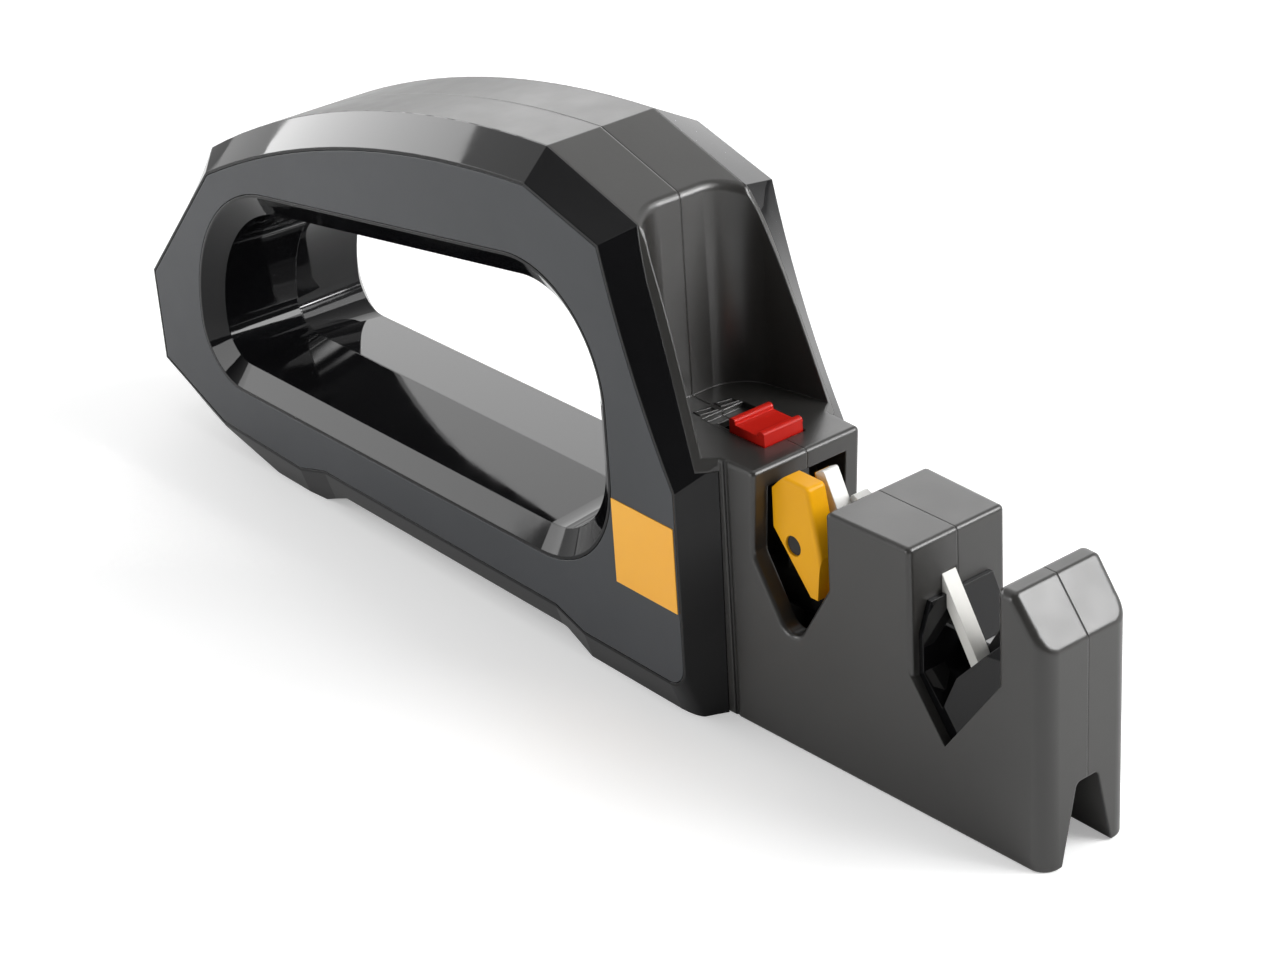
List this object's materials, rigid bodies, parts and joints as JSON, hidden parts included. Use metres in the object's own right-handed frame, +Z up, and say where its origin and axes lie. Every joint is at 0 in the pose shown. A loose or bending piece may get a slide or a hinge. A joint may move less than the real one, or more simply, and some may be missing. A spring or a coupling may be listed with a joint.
{
  "type": "knife and tool sharpener",
  "caption": "Hand-held knife and tool sharpener with a looped handle, thumb scoop, sprung carbide rocker, sliding lock button, crossed ceramic rods and a grooved nose.",
  "frame": {"origin": "centre of the underside's bounding rectangle, on the surface that the sharpener stands on", "axes": "+X forwards from the handle to the nose, +Y to the left, +Z up"},
  "size_m": [0.2292, 0.0356, 0.087],
  "materials": {
    "satin_graphite": "satin dark graphite plastic",
    "gloss_black": "polished black plastic",
    "satin_slate": "satin blue-grey plastic",
    "orange_badge": "plain orange badge",
    "black_rubber": "soft rubber",
    "screw_steel": "zinc-plated steel",
    "pin_steel": "ground steel",
    "spring_steel": "spring steel",
    "yellow_plastic": "moulded yellow-orange plastic",
    "carbide": "ground carbide",
    "red_plastic": "moulded red plastic",
    "dark_plastic": "moulded dark plastic",
    "white_ceramic": "off-white fired ceramic"
  },
  "bodies": {
    "body": {"left_housing": "satin_graphite", "right_housing": "satin_graphite", "left_side_cover": "gloss_black", "right_side_cover": "gloss_black", "ceramic_holder": "gloss_black", "left_side_panel": "satin_slate", "right_side_panel": "satin_slate", "left_badge": "orange_badge", "right_badge": "orange_badge", "front_foot_pad": "black_rubber", "rear_foot_pad": "black_rubber", "housing_screws": "screw_steel", "cover_screws": "screw_steel", "rocker_pin": "pin_steel", "rocker_spring": "spring_steel", "lock_detent_spring": "spring_steel", "right_ceramic_rod": "white_ceramic", "left_ceramic_rod": "white_ceramic"},
    "rocker": {"carbide_rocker": "yellow_plastic", "rocker_hub": "dark_plastic", "right_carbide": "carbide", "left_carbide": "carbide"},
    "lock": {"lock_button": "red_plastic", "lock_slide": "dark_plastic", "lock_screw": "screw_steel"}
  },
  "joints": [
    {"name": "rocker_pivot", "type": "hinge", "parent": "body", "child": "rocker", "pos_m": [0.0638, 0, 0.022], "axis": [1, 0, 0], "range_deg": [-12, 12], "stiffness_Nm_per_rad": 0.05},
    {"name": "lock_slide", "type": "slide", "parent": "body", "child": "lock", "axis": [-1, 0, 0], "range_m": [0, 0.006]}
  ]
}
